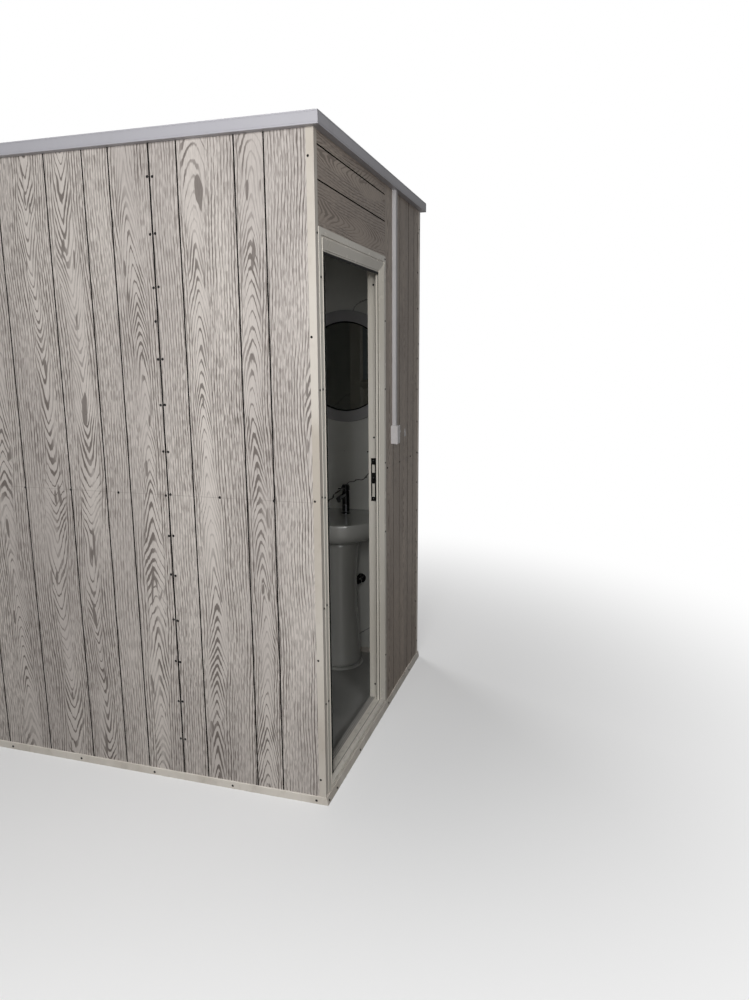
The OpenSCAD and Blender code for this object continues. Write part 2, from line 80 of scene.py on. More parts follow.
# Feeds a node: each input is a value, or a socket to link
def feed(tree, node, inputs):
    for key, value in inputs.items():
        if isinstance(value, bpy.types.NodeSocket):
            tree.links.new(value, node.inputs[key])
        else:
            node.inputs[key].default_value = value


# Adds a node and gives its outputs. Inputs are in order or by name, and settings are the
# node's properties.
def add(tree, kind, inputs=(), **settings):
    made = tree.nodes.new("ShaderNode" + kind)
    for key, value in settings.items():
        setattr(made, key, value)
    feed(tree, made, inputs if isinstance(inputs, dict) else dict(enumerate(inputs)))
    return made.outputs


# Settings that many nodes share, and the places of a Mix node's colour sockets. A texture's
# scale is how many of its marks lie in a metre.
SMOOTH = {"interpolation_type": "SMOOTHSTEP"}
RGBA = {"data_type": "RGBA"}
COLOUR_A, COLOUR_B, MIXED = 6, 7, 2


# A new material, its node tree and its shader. The shader's constants go by its sockets'
# names, with an underscore for each space.
def new_material(name, **constants):
    material = bpy.data.materials.new(name)
    material.use_nodes = True
    shader = material.node_tree.nodes["Principled BSDF"]
    feed(material.node_tree, shader, {key.replace("_", " "): constants[key] for key in constants})
    return material, material.node_tree, shader


# Soft uneven tone and sheen of an extruded or moulded surface, with a little grime. Scale is
# how many patches lie in a metre, and the smudges are a ninth of their size.
def soften(tree, shader, colour, grime, amount=0.5, scale=3.0, roughness=None):
    point = add(tree, "Mapping", {"Vector": add(tree, "TexCoord")["Object"], "Scale": (1, 1, 0.6)})[0]
    clouds = add(tree, "TexNoise", {"Vector": point, "Scale": scale, "Detail": 4.0})[0]
    patches = add(tree, "MapRange", (clouds, 0.42, 0.72), **SMOOTH)[0]
    marks = add(tree, "TexNoise", {"Vector": point, "Scale": scale * 9, "Detail": 5.0, "Roughness": 0.6})[0]
    smudges = add(tree, "MapRange", (marks, 0.52, 0.75), **SMOOTH)[0]
    tone = add(tree, "Math", (smudges, 0.4, patches), operation="MULTIPLY_ADD")[0]
    tone = add(tree, "Math", (tone, amount), operation="MULTIPLY", use_clamp=True)[0]
    shades = {"Factor": tone, COLOUR_A: linear(colour), COLOUR_B: linear(grime)}
    feed(tree, shader, {"Base Color": add(tree, "Mix", shades, **RGBA)[MIXED]})
    if roughness:
        feed(tree, shader, {"Roughness": add(tree, "MapRange", (smudges, 0.0, 1.0, *roughness), **SMOOTH)[0]})


# Washed-oak film on a grooved board. Along is the axis across the grain, from the
# sheet's left edge, rise is the axis along the grain, and face is the wall's surface:
# each is an axis, its start and its sign. Ink is how strongly the grain is printed.
# The eye gets pale warm grey with brown-grey cathedral lines, and black grooves.
def oak_film(name, along, rise, face, level_line=None, grounds=("#CCC5BF", "#BCB5B0"), ink=1.0):
    material, tree, shader = new_material(name)
    parts = add(tree, "SeparateXYZ", (add(tree, "TexCoord")["Object"],))
    u, z, depth = [
        add(tree, "Math", (parts[axis], sign, -start * sign), operation="MULTIPLY_ADD")[0]
        for axis, start, sign in (along, rise, face)]
    flat = add(tree, "CombineXYZ", (u, z, 0.0))[0]

    # Columns of cathedral grain, about 215 mm apart, that wander by up to 100 mm
    column_w = 0.215
    wander_w = 0.10
    place = add(tree, "Mapping", {"Vector": flat, "Scale": (1.2, 1.1, 1)})[0]
    wander = add(tree, "TexNoise", {"Vector": place, "Scale": 1.0, "Detail": 1.0})[0]
    place = add(tree, "Math", (wander, wander_w, u), operation="MULTIPLY_ADD")[0]
    place = add(tree, "Math", (place, column_w), operation="DIVIDE")[0]
    column = add(tree, "Math", (place,), operation="FLOOR")[0]
    chance = add(tree, "TexWhiteNoise", {"W": column}, noise_dimensions="1D")["Color"]
    chances = add(tree, "SeparateColor", (chance,))
    centre = add(tree, "MapRange", (chances[0], 0.0, 1.0, 0.35, 0.65), **SMOOTH)[0]
    across = add(tree, "Math", (place,), operation="FRACT")[0]
    across = add(tree, "Math", (across, centre), operation="SUBTRACT")[0]
    across = add(tree, "Math", (across, column_w), operation="MULTIPLY")[0]
    aside = add(tree, "Math", (across,), operation="ABSOLUTE")[0]

    # What is uneven in the grain, each a noise of its own: its waves in a metre across and
    # along the grain, its layer, its detail and its roughness. A column's own noises are
    # the same from side to side of it.
    by_column = add(tree, "CombineXYZ", (column, z, 0.0))[0]
    uneven = {}
    for key, base, waves_across, waves_along, layer, detail, rough in (
            ("breadth", by_column, 3.17, 3.0, 0, 1, 0.5),
            ("climb", by_column, 7.31, 2.0, 0, 1, 0.5),
            ("steepness", by_column, 5.1, 2.4, 0, 1, 0.5),
            ("shiver", flat, 22.0, 4.0, 0, 2, 0.5),
            ("rag", flat, 170.0, 20.0, 0, 2, 0.5),
            ("weight", flat, 20.0, 6.0, 8, 1, 0.5),
            ("fading", flat, 14.0, 2.6, 5, 2, 0.5),
            ("cores", flat, 34.0, 6.0, 3, 1, 0.5),
            ("pores", flat, 240.0, 26.0, 0, 1, 0.6),
            ("crowding", flat, 9.0, 0.9, 2, 1, 0.5),
            ("tone", flat, 4.0, 0.7, 9, 2, 0.5)):
        stretch = {"Vector": base, "Location": (0, 0, layer), "Scale": (waves_across, waves_along, 1)}
        place = add(tree, "Mapping", stretch)[0]
        grain = {"Vector": place, "Scale": 1.0, "Detail": detail, "Roughness": rough}
        uneven[key] = add(tree, "TexNoise", grain)[0]

    # The heart of a column is about 60 mm wide, and the flanks fill the rest. Its edge wanders
    # by at most 35 mm each way.
    edge_w = 0.07
    inward = add(tree, "Math", (aside, edge_w / 2), operation="SUBTRACT")[0]
    edge = add(tree, "Math", (uneven["breadth"], edge_w, inward), operation="MULTIPLY_ADD")[0]
    heart = add(tree, "MapRange", (edge, 0.022, 0.042, 1.0, 0.0), **SMOOTH)[0]
    flank = add(tree, "Math", (1.0, heart), operation="SUBTRACT")[0]

    # Each heart is a chain of nested arches that point down in two columns of five and up in
    # the others. Their tips are 9 mm round, they climb unevenly by up to 280 mm, and their
    # legs are 2.2 to 5.5 times as tall as wide.
    tip = 0.009
    climb_h = 0.28
    upright = 0.6
    climb = add(tree, "Math", (uneven["climb"], climb_h, z), operation="MULTIPLY_ADD")[0]
    turned_over = add(tree, "Math", (chances[1], upright), operation="GREATER_THAN")[0]
    pointing = add(tree, "MapRange", (turned_over, 0.0, 1.0, 1.0, -1.0), **SMOOTH)[0]
    bend = add(tree, "Math", (across, across, tip ** 2), operation="MULTIPLY_ADD")[0]
    bend = add(tree, "Math", (bend,), operation="SQRT")[0]
    steep = add(tree, "MapRange", (uneven["steepness"], 0.3, 0.7, 2.2, 5.5), **SMOOTH)[0]
    bend = add(tree, "Math", (bend, steep), operation="MULTIPLY")[0]
    arch = add(tree, "Math", (climb, pointing, bend), operation="MULTIPLY_ADD")[0]

    # Every line shivers by up to 1.7 gaps, and its edge is ragged by up to 0.4 of a gap
    shiver = add(tree, "Math", (uneven["shiver"], 1.7), operation="MULTIPLY")[0]
    shiver = add(tree, "Math", (uneven["rag"], 0.4, shiver), operation="MULTIPLY_ADD")[0]

    # Growth lines a gap apart: each starts softly at a share of the gap, and ends sharply
    def growth_lines(distance, gap, starts):
        ring = add(tree, "Math", (distance, 1 / gap, shiver), operation="MULTIPLY_ADD")[0]
        ring = add(tree, "Math", (ring,), operation="FRACT")[0]
        full = add(tree, "Math", (starts, 0.16), operation="ADD")[0]
        rising = add(tree, "MapRange", (ring, starts, full), **SMOOTH)[0]
        falling = add(tree, "MapRange", (ring, 0.90, 1.0, 1.0, 0.0), **SMOOTH)[0]
        return add(tree, "Math", (rising, falling), operation="MULTIPLY")[0]

    # Lines are 46 mm apart and of varying breadth in the heart, 10.5 mm apart and thin on
    # the flanks, and fade in places. Some hearts have a solid core.
    weight = add(tree, "MapRange", (uneven["weight"], 0.35, 0.65, 0.72, 0.34), **SMOOTH)[0]
    inner = add(tree, "Math", (growth_lines(arch, 0.046, weight), heart), operation="MULTIPLY")[0]
    outer = add(tree, "Math", (growth_lines(across, 0.0105, 0.56), flank), operation="MULTIPLY")[0]
    line = add(tree, "Math", (inner, outer), operation="ADD")[0]
    fading = add(tree, "MapRange", (uneven["fading"], 0.34, 0.56, 0.3, 1.0), **SMOOTH)[0]
    line = add(tree, "Math", (line, fading), operation="MULTIPLY")[0]
    weaker = add(tree, "MapRange", (aside, 0.05, 0.10, 1.0, 0.7), **SMOOTH)[0]
    line = add(tree, "Math", (line, weaker), operation="MULTIPLY")[0]
    core = add(tree, "MapRange", (uneven["cores"], 0.66, 0.69, 0.0, 0.9), **SMOOTH)[0]
    core = add(tree, "Math", (core, heart), operation="MULTIPLY")[0]
    line = add(tree, "Math", (line, core), operation="MAXIMUM")[0]

    # Pores: dashes about 3 mm wide and 30 mm long, coarser than real ones so that they
    # show. They crowd the flanks and thin out in the heart.
    pore = add(tree, "MapRange", (uneven["pores"], 0.47, 0.56), **SMOOTH)[0]
    crowd = add(tree, "MapRange", (uneven["crowding"], 0.35, 0.6, 0.65, 1.0), **SMOOTH)[0]
    thinned = add(tree, "MapRange", (heart, 0.0, 1.0, 1.0, 0.25), **SMOOTH)[0]
    crowd = add(tree, "Math", (crowd, thinned), operation="MULTIPLY")[0]
    pore = add(tree, "Math", (pore, crowd), operation="MULTIPLY")[0]
    broken = add(tree, "MapRange", (pore, 0.0, 1.0, 0.85, 1.0), **SMOOTH)[0]
    line = add(tree, "Math", (line, broken), operation="MULTIPLY")[0]

    # The ground's two tones, with the pores, the lines, a pencilled level line and the cut
    # grooves over them
    tone = add(tree, "MapRange", (uneven["tone"], 0.35, 0.65), **SMOOTH)[0]
    layers = [
        (add(tree, "Math", (pore, 0.55), operation="MULTIPLY")[0], "#756D68"),
        (add(tree, "Math", (line, ink), operation="MULTIPLY")[0], "#5C544F")]
    if level_line:
        off = add(tree, "Math", (z, level_line), operation="SUBTRACT")[0]
        off = add(tree, "Math", (off,), operation="ABSOLUTE")[0]
        layers.append((add(tree, "MapRange", (off, 0.8 * MM, 1.8 * MM, 0.3, 0.0), **SMOOTH)[0], "#77716C"))
    cut = add(tree, "Math", (depth, 0.3 * MM), operation="GREATER_THAN")[0]
    layers.append((cut, "#070606"))
    shades = {"Factor": tone, COLOUR_A: linear(grounds[0]), COLOUR_B: linear(grounds[1])}
    colour = add(tree, "Mix", shades, **RGBA)[MIXED]
    for share, code in layers:
        colour = add(tree, "Mix", {"Factor": share, COLOUR_A: colour, COLOUR_B: linear(code)}, **RGBA)[MIXED]

    # Lines and pores are pressed in a little, and the grooves have no sheen
    pressed = add(tree, "Math", (line, -0.6), operation="MULTIPLY")[0]
    pressed = add(tree, "Math", (pore, -0.5, pressed), operation="MULTIPLY_ADD")[0]
    feed(tree, shader, {
        "Base Color": colour,
        "Roughness": add(tree, "Math", (line, 0.12, 0.44), operation="MULTIPLY_ADD")[0],
        "Specular IOR Level": add(tree, "MapRange", (cut, 0.0, 1.0, 0.3, 0.0), **SMOOTH)[0],
        "Normal": add(tree, "Bump", {"Height": pressed, "Distance": 0.2 * MM})[0]})
    return material


# Marble-pattern PVC lining: satin pale grey with thin dark veins that rise to the right
def marble_lining():
    material, tree, shader = new_material("marble_pvc_lining", Roughness=0.3)
    point = add(tree, "TexCoord")["Object"]
    x, y, z = add(tree, "SeparateXYZ", (point,))

    # The print repeats every 845 mm up the wall. A vein is 4 to 10 mm wide and strays by
    # 60 mm each way.
    repeat = 0.8445
    slope = -0.77
    start = 0.828
    stray = 0.06
    along = add(tree, "Math", (x, y), operation="ADD")[0]
    level = add(tree, "Math", (along, slope, z), operation="MULTIPLY_ADD")[0]
    wobble = add(tree, "TexNoise", {"Vector": point, "Scale": 7.0, "Detail": 5.0, "Roughness": 0.6})[0]
    wobble = add(tree, "Math", (wobble, 2 * stray, start - stray), operation="MULTIPLY_ADD")[0]
    level = add(tree, "Math", (level, wobble), operation="ADD")[0]
    off = add(tree, "Math", (level, 1 / repeat, 0.5), operation="MULTIPLY_ADD")[0]
    off = add(tree, "Math", (off,), operation="FRACT")[0]
    off = add(tree, "Math", (off, 0.5), operation="SUBTRACT")[0]
    off = add(tree, "Math", (off,), operation="ABSOLUTE")[0]
    vein = add(tree, "MapRange", (off, 2 * MM / repeat, 5 * MM / repeat, 1.0, 0.0), **SMOOTH)[0]
    faint = add(tree, "TexNoise", {"Vector": point, "Scale": 4.0})[0]
    faint = add(tree, "MapRange", (faint, 0.35, 0.6, 0.35, 1.0), **SMOOTH)[0]
    vein = add(tree, "Math", (vein, faint), operation="MULTIPLY")[0]

    cloud = add(tree, "TexNoise", {"Vector": point, "Scale": 3.0, "Detail": 5.0})[0]
    cloud = add(tree, "MapRange", (cloud, 0.35, 0.7), **SMOOTH)[0]
    shades = {"Factor": cloud, COLOUR_A: linear("#DADAD5"), COLOUR_B: linear("#CCCCC7")}
    colour = add(tree, "Mix", shades, **RGBA)[MIXED]
    colour = add(tree, "Mix", {"Factor": vein, COLOUR_A: colour, COLOUR_B: linear("#4A4744")}, **RGBA)[MIXED]
    feed(tree, shader, {"Base Color": colour})
    return material


# Extruded ivory UPVC of the door set: glossy, a little yellowed and smudged
def ivory_upvc():
    material, tree, shader = new_material("ivory_upvc", IOR=1.53)
    soften(tree, shader, "#DAD5CB", "#C2BBAE", 0.45, 2.5, (0.22, 0.40))
    return material


# The sill's UPVC: pale outside and grey inside, the grey a painted shade, with grey scuff marks 17 by 33 mm
# all over, and dark lines along its grooves, 2 mm wide
def scuffed_sill():
    material, tree, shader = new_material("scuffed_upvc_sill", Roughness=0.35, IOR=1.53)
    point = add(tree, "TexCoord")["Object"]
    inwards = add(tree, "Math", (half_w, add(tree, "SeparateXYZ", (point,))[0]), operation="SUBTRACT")[0]
    stretch = add(tree, "Mapping", {"Vector": point, "Scale": (1, 0.5, 1)})[0]
    scuff = add(tree, "TexNoise", {"Vector": stretch, "Scale": 60.0, "Detail": 4.0, "Roughness": 0.7})[0]
    layers = [(add(tree, "MapRange", (scuff, 0.45, 0.75, 0.0, 0.4), **SMOOTH)[0], "#99948B")]
    for groove in (9 * MM, 39 * MM, 47 * MM, 55 * MM):
        off = add(tree, "Math", (inwards, groove), operation="SUBTRACT")[0]
        off = add(tree, "Math", (off,), operation="ABSOLUTE")[0]
        layers.append((add(tree, "MapRange", (off, 0.9 * MM, 1.9 * MM, 0.75, 0.0), **SMOOTH)[0], "#5F584F"))
    # Grey inside, from 36 to 42 mm in from the outer face: painted shade
    painted_light_share = add(tree, "MapRange", (inwards, 36 * MM, 42 * MM), **SMOOTH)[0]
    shades = {"Factor": painted_light_share, COLOUR_A: linear("#E4DFD5"), COLOUR_B: linear("#B9B7B2")}
    colour = add(tree, "Mix", shades, **RGBA)[MIXED]
    for share, code in layers:
        colour = add(tree, "Mix", {"Factor": share, COLOUR_A: colour, COLOUR_B: linear(code)}, **RGBA)[MIXED]
    feed(tree, shader, {"Base Color": colour})
    return material


# Ivory PVC skirting: the same satin strip as the angles, made paler by painted light
def skirting_painted_paler():
    material, tree, shader = new_material("ivory_pvc_skirting", IOR=1.53)
    soften(tree, shader, "#E0DAD1", "#B4AB9F", 0.6, 6.0, (0.34, 0.5))
    return material


# Ivory PVC angle and strip: satin, with grime from hands and boots
def ivory_strip():
    material, tree, shader = new_material("ivory_pvc_strip", IOR=1.53)
    soften(tree, shader, "#C9C3BA", "#A99F92", 0.6, 4.0, (0.34, 0.5))
    return material


# Lavender-grey PVC trunking: satin and clean
def trunking_pvc():
    material, tree, shader = new_material("trunking_pvc", IOR=1.53)
    soften(tree, shader, "#B7B5B6", "#A6A4A4", 0.4, 2.0, (0.38, 0.5))
    return material


# Lavender-grey PVC trunking along the ceiling: the same, with a bluer cast
def cornice_pvc():
    material, tree, shader = new_material("cornice_pvc", IOR=1.53)
    soften(tree, shader, "#B1B0B6", "#A09FA3", 0.4, 2.0, (0.38, 0.5))
    return material


# Moulded white ABS of the switch box: smooth, with a soft gloss
def white_abs():
    material, tree, shader = new_material("white_abs", IOR=1.54)
    soften(tree, shader, "#C6C3C3", "#B5B2B2", 0.4, 6.0, (0.26, 0.4))
    return material


# EPDM rubber seal: black with a dull sheen. Its grain is drawn 2.5 mm across so that it shows.
def seal_rubber():
    material, tree, shader = new_material(
        "epdm_seal", Base_Color=linear("#070606"), Roughness=0.6, Specular_IOR_Level=0.15)
    height = add(tree, "TexNoise", {"Vector": add(tree, "TexCoord")["Object"], "Scale": 400.0})[0]
    bump = add(tree, "Bump", {"Height": height, "Distance": 0.1 * MM, "Strength": 0.3})[0]
    feed(tree, shader, {"Normal": bump})
    return material


# Black stove enamel on steel: near black, with a hard gloss and a few dull marks
def black_enamel():
    material, tree, shader = new_material("black_enamel")
    soften(tree, shader, "#0D0D0D", "#201F1E", 0.6, 30.0, (0.2, 0.4))
    return material


# Chrome plate on brass: a dark mirror, its colour darkened as painted shade for the dim washroom it reflects,
# with dried water spots 17 mm across
def chrome_plate():
    material, tree, shader = new_material("chrome_plate", Base_Color=linear("#58595B"), Metallic=1.0)
    spots = {"Vector": add(tree, "TexCoord")["Object"], "Scale": 60.0, "Detail": 4.0}
    dulled = add(tree, "MapRange", (add(tree, "TexNoise", spots)[0], 0.5, 0.8, 0.06, 0.2), **SMOOTH)[0]
    feed(tree, shader, {"Roughness": dulled})
    return material


# Vitreous china with a white glaze: very glossy, faintly uneven in waves 70 mm long
def white_glaze():
    material, tree, shader = new_material(
        "white_glaze", Roughness=0.08, IOR=1.55, Coat_Weight=0.5, Coat_Roughness=0.04)
    soften(tree, shader, "#BEBEBA", "#B1B0AB", 0.4, 5.0)
    waves = {"Vector": add(tree, "TexCoord")["Object"], "Scale": 14.0, "Detail": 1.0}
    height = add(tree, "TexNoise", waves)[0]
    bump = add(tree, "Bump", {"Height": height, "Distance": 1.5 * MM, "Strength": 0.12})[0]
    feed(tree, shader, {"Normal": bump})
    return material


# Silvered glass: a clean mirror with a trace of haze in clouds 200 mm across
def silvered_glass():
    material, tree, shader = new_material("silvered_glass", Base_Color=linear("#C9CDCC"), Metallic=1.0)
    clouds = {"Vector": add(tree, "TexCoord")["Object"], "Scale": 5.0, "Detail": 4.0}
    haze = add(tree, "MapRange", (add(tree, "TexNoise", clouds)[0], 0.45, 0.8, 0.015, 0.05), **SMOOTH)[0]
    feed(tree, shader, {"Roughness": haze})
    return material


# Satin grey moulded polystyrene round the mirror
def grey_surround():
    material, tree, shader = new_material("grey_polystyrene")
    soften(tree, shader, "#A8A7A9", "#949395", 0.5, 8.0, (0.4, 0.5))
    return material


# Rolled glass: pale, obscured by a shallow hammered pattern of dimples 9 mm across
def rolled_glass():
    material, tree, shader = new_material("rolled_glass", Roughness=0.12, IOR=1.5)
    hammered = {"Vector": add(tree, "TexCoord")["Object"], "Scale": 110.0}
    height = add(tree, "TexVoronoi", hammered, feature="SMOOTH_F1")["Distance"]
    feed(tree, shader, {"Normal": add(tree, "Bump", {"Height": height, "Distance": MM, "Strength": 0.7})[0]})
    soften(tree, shader, "#B2BCC1", "#9DA8AE", 0.5, 3.0)
    return material


# Sheet vinyl: smooth mid grey with a fine speckle, drawn 4 mm across so that it shows
def grey_vinyl():
    material, tree, shader = new_material("sheet_vinyl", Roughness=0.35)
    point = add(tree, "TexCoord")["Object"]
    speck = add(tree, "TexNoise", {"Vector": point, "Scale": 260.0, "Detail": 3.0, "Roughness": 0.7})[0]
    speck = add(tree, "MapRange", (speck, 0.45, 0.7), **SMOOTH)[0]
    cloud = add(tree, "TexNoise", {"Vector": point, "Scale": 2.5, "Detail": 4.0})[0]
    cloud = add(tree, "MapRange", (cloud, 0.4, 0.7), **SMOOTH)[0]
    shades = {"Factor": cloud, COLOUR_A: linear("#A8A8A5"), COLOUR_B: linear("#989895")}
    ground = add(tree, "Mix", shades, **RGBA)[MIXED]
    share = add(tree, "Math", (speck, 0.35), operation="MULTIPLY")[0]
    colour = add(tree, "Mix", {"Factor": share, COLOUR_A: ground, COLOUR_B: linear("#7C7C79")}, **RGBA)[MIXED]
    bump = add(tree, "Bump", {"Height": speck, "Distance": 0.1 * MM, "Strength": 0.5})[0]
    feed(tree, shader, {"Base Color": colour, "Normal": bump})
    return material


# White polyester paint on the ceiling's steel sheet, with shallow ribs pressed in, 24 mm
# wide and 200 mm apart
def painted_sheet():
    material, tree, shader = new_material("painted_steel_sheet")
    soften(tree, shader, "#CCCCC8", "#B4B3AE", 0.6, 2.0, (0.35, 0.55))
    across = add(tree, "SeparateXYZ", (add(tree, "TexCoord")["Object"],))[0]
    from_rib = add(tree, "Math", (across, 0.1), operation="PINGPONG")[0]
    height = add(tree, "MapRange", (from_rib, 5 * MM, 12 * MM, 1.0, 0.0), **SMOOTH)[0]
    feed(tree, shader, {"Normal": add(tree, "Bump", {"Height": height, "Distance": 4 * MM})[0]})
    return material


# White PVC plank ceiling of the washroom: satin and even
def white_lining():
    material, tree, shader = new_material("white_pvc_lining", Roughness=0.35)
    soften(tree, shader, "#D1D1CD", "#C2C2BE", 0.4, 3.0)
    return material


# Expanded foam and studs inside the walls, seen only from below: dull cream beads of 4.5 mm
def foam_core():
    material, tree, shader = new_material("foam_core", Roughness=0.9)
    beads = {"Vector": add(tree, "TexCoord")["Object"], "Scale": 220.0}
    height = add(tree, "TexVoronoi", beads)["Distance"]
    gap = add(tree, "MapRange", (height, 0.2, 0.6), **SMOOTH)[0]
    shades = {"Factor": gap, COLOUR_A: linear("#D6D2C3"), COLOUR_B: linear("#BFBAA9")}
    bump = add(tree, "Bump", {"Height": height, "Distance": MM, "Strength": 0.5})[0]
    feed(tree, shader, {"Base Color": add(tree, "Mix", shades, **RGBA)[MIXED], "Normal": bump})
    return material


# Bare birch plywood under the floor: light brown, with streaks 17 mm wide and 500 mm long
def bare_plywood():
    material, tree, shader = new_material("birch_plywood", Roughness=0.7)
    stretch = add(tree, "Mapping", {"Vector": add(tree, "TexCoord")["Object"], "Scale": (2, 60, 60)})[0]
    streak = add(tree, "TexNoise", {"Vector": stretch, "Scale": 1.0, "Detail": 4.0})[0]
    streak = add(tree, "MapRange", (streak, 0.35, 0.65), **SMOOTH)[0]
    shades = {"Factor": streak, COLOUR_A: linear("#B1976F"), COLOUR_B: linear("#957A54")}
    feed(tree, shader, {"Base Color": add(tree, "Mix", shades, **RGBA)[MIXED]})
    return material


# Black phosphate on steel screws: nearly black, with grey patches of 3 mm painted on as glints
def phosphate():
    material, tree, shader = new_material("black_phosphate", Roughness=0.32, Metallic=0.4)
    patches = {"Vector": add(tree, "TexCoord")["Object"], "Scale": 300.0}
    painted_light_share = add(tree, "MapRange", (add(tree, "TexNoise", patches)[0], 0.5, 0.75), **SMOOTH)[0]
    shades = {"Factor": painted_light_share, COLOUR_A: linear("#100F0F"), COLOUR_B: linear("#3A3836")}
    feed(tree, shader, {"Base Color": add(tree, "Mix", shades, **RGBA)[MIXED]})
    return material


# White powder coat of the lever handles and hinges: a soft gloss with handled patches
def powder_coat():
    material, tree, shader = new_material("white_powder_coat")
    soften(tree, shader, "#DFDEDA", "#C9C7C2", 0.4, 8.0, (0.3, 0.45))
    return material


# Brushed stainless steel of the lock's faceplate: fine upright lines 83 mm long, drawn
# 1.1 mm apart so that they show
def brushed_steel():
    material, tree, shader = new_material("brushed_stainless", Base_Color=linear("#9A9A99"), Metallic=1.0)
    stretch = add(tree, "Mapping", {"Vector": add(tree, "TexCoord")["Object"], "Scale": (900, 900, 12)})[0]
    lines = add(tree, "TexNoise", {"Vector": stretch, "Scale": 1.0})[0]
    feed(tree, shader, {
        "Normal": add(tree, "Bump", {"Height": lines, "Distance": 0.05 * MM, "Strength": 0.4})[0],
        "Roughness": add(tree, "MapRange", (lines, 0.3, 0.7, 0.26, 0.42), **SMOOTH)[0]})
    return material


# White silicone: soft sheen, slightly lumpy every 11 mm
def silicone():
    material, tree, shader = new_material("white_silicone", Base_Color=linear("#C9C9C5"), Roughness=0.35)
    lumps = add(tree, "TexNoise", {"Vector": add(tree, "TexCoord")["Object"], "Scale": 90.0})[0]
    feed(tree, shader, {"Normal": add(tree, "Bump", {"Height": lumps, "Distance": MM, "Strength": 0.5})[0]})
    return material


AXIS_X, AXIS_Y, AXIS_Z = 0, 1, 2
LEVEL = 1.10
half_w, half_d = WIDTH / 2, DEPTH / 2
front_sheet = -half_w + FRONT_JOINT - SHEET_W
side_sheet = -half_d + SIDE_JOINT - SHEET_W
up = (AXIS_Z, 0.0, 1)
# The doorway wall's boards are the same film as the front's, with darker and browner grounds and fainter
# grain as painted shade
shaded_grounds = ("#B2A599", "#A2958A")

finish = {
    "front": oak_film("oak_film_front", (AXIS_X, front_sheet, 1), up, (AXIS_Y, -half_d, 1), LEVEL),
    "side": oak_film("oak_film_side", (AXIS_Y, side_sheet, 1), up, (AXIS_X, half_w, -1), LEVEL, shaded_grounds, 0.7),
    "lintel": oak_film(
        "oak_film_lintel", (AXIS_Z, LINTEL_SHEET, 1), (AXIS_Y, -3.0, 1), (AXIS_X, half_w, -1),
        grounds=shaded_grounds, ink=0.7),
    "back": oak_film("oak_film_back", (AXIS_X, half_w, -1), up, (AXIS_Y, half_d, -1), LEVEL),
    "left": oak_film("oak_film_left", (AXIS_Y, half_d - LEFT_EDGE, -1), up, (AXIS_X, -half_w, 1), LEVEL),
    "marble": marble_lining(), "upvc": ivory_upvc(), "strip": ivory_strip(), "trunking": trunking_pvc(),
    "cornice": cornice_pvc(), "sill": scuffed_sill(), "skirting": skirting_painted_paler(), "abs": white_abs(),
    "seal": seal_rubber(), "enamel": black_enamel(), "chrome": chrome_plate(),
    "glaze": white_glaze(), "mirror": silvered_glass(), "surround": grey_surround(), "glass": rolled_glass(),
    "vinyl": grey_vinyl(), "sheet": painted_sheet(), "ceiling": white_lining(), "foam": foam_core(),
    "plywood": bare_plywood(), "screw": phosphate(), "coat": powder_coat(), "steel": brushed_steel(),
    "silicone": silicone(),
}

cad_finish = {
    "front_board_left": "front", "front_board_right": "front",
    "side_board": "side", "lintel_board": "lintel", "back_boards": "back", "left_boards": "left",
    "front_lining": "marble", "side_lining": "marble", "lintel_lining": "marble", "back_lining": "marble",
    "left_lining": "marble", "ceiling_lining": "ceiling",
    "front_core": "foam", "side_core": "foam", "lintel_core": "foam", "back_core": "foam",
    "left_core": "foam", "ceiling_panel": "sheet", "floor_board": "plywood", "floor_vinyl": "vinyl",
    "corner_trims": "strip", "skirting": "skirting", "inner_skirting": "strip",
    "cornice": "cornice", "switch_trunking": "trunking", "switch_box": "abs",
    "frame_jamb_hinge": "upvc", "frame_jamb_lock": "upvc", "frame_head": "upvc", "frame_sill": "sill",
    "frame_gasket": "seal", "frame_hinges": "coat", "leaf_hinges": "coat", "strike_plate": "enamel",
    "mirror_frame": "surround", "mirror_glass": "mirror",
    "leaf_frame": "upvc", "leaf_glass": "glass", "leaf_panels": "upvc", "door_handles": "coat",
    "lock_faceplate": "steel",
    "basin": "glaze", "pedestal": "glaze", "tap": "chrome", "angle_valve": "enamel",
}
for node, key in cad_finish.items():
    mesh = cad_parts[node].data
    mesh.materials.clear()
    mesh.materials.append(finish[key])


# Turns a bmesh into a finished piece that rides on a body
def piece(bm, name, key, body, smooth=True):
    mesh = bpy.data.meshes.new(name)
    for face in bm.faces:
        face.smooth = smooth
    bm.to_mesh(mesh)
    bm.free()
    made = bpy.data.objects.new(name, mesh)
    bpy.context.scene.collection.objects.link(made)
    mesh.materials.append(finish[key])
    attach(made, body)
    return made


# Place of a wall: X runs to the right seen from outside, Y into the wall.
# 0 is the front, 1 the doorway wall, 2 the back and 3 the left wall.
def wall(i):
    corner = [(-half_w, -half_d), (half_w, -half_d), (half_w, half_d), (-half_w, half_d)][i]
    return Matrix.Translation((corner[0], corner[1], 0)) @ Matrix.Rotation(math.pi / 2 * i, 4, "Z")


def wall_length(i):
    return DEPTH if i % 2 else WIDTH


# One pan-head screw that stands on Z = 0, with a dished recess
def screw_head(bm, place, radius):
    made = bmesh.ops.create_cone(
        bm, cap_ends=True, segments=12, radius1=radius, radius2=radius * 0.62, depth=radius * 0.4,
        matrix=place @ Matrix.Translation((0, 0, radius * 0.2)))
    faces = {face for vert in made["verts"] for face in vert.link_faces if len(face.verts) > 4}
    outward = place.to_3x3() @ Vector((0, 0, 1))
    top = max(faces, key=lambda face: face.calc_center_median().dot(outward))
    bmesh.ops.inset_individual(bm, faces=[top], thickness=radius * 0.22, depth=-radius * 0.3)


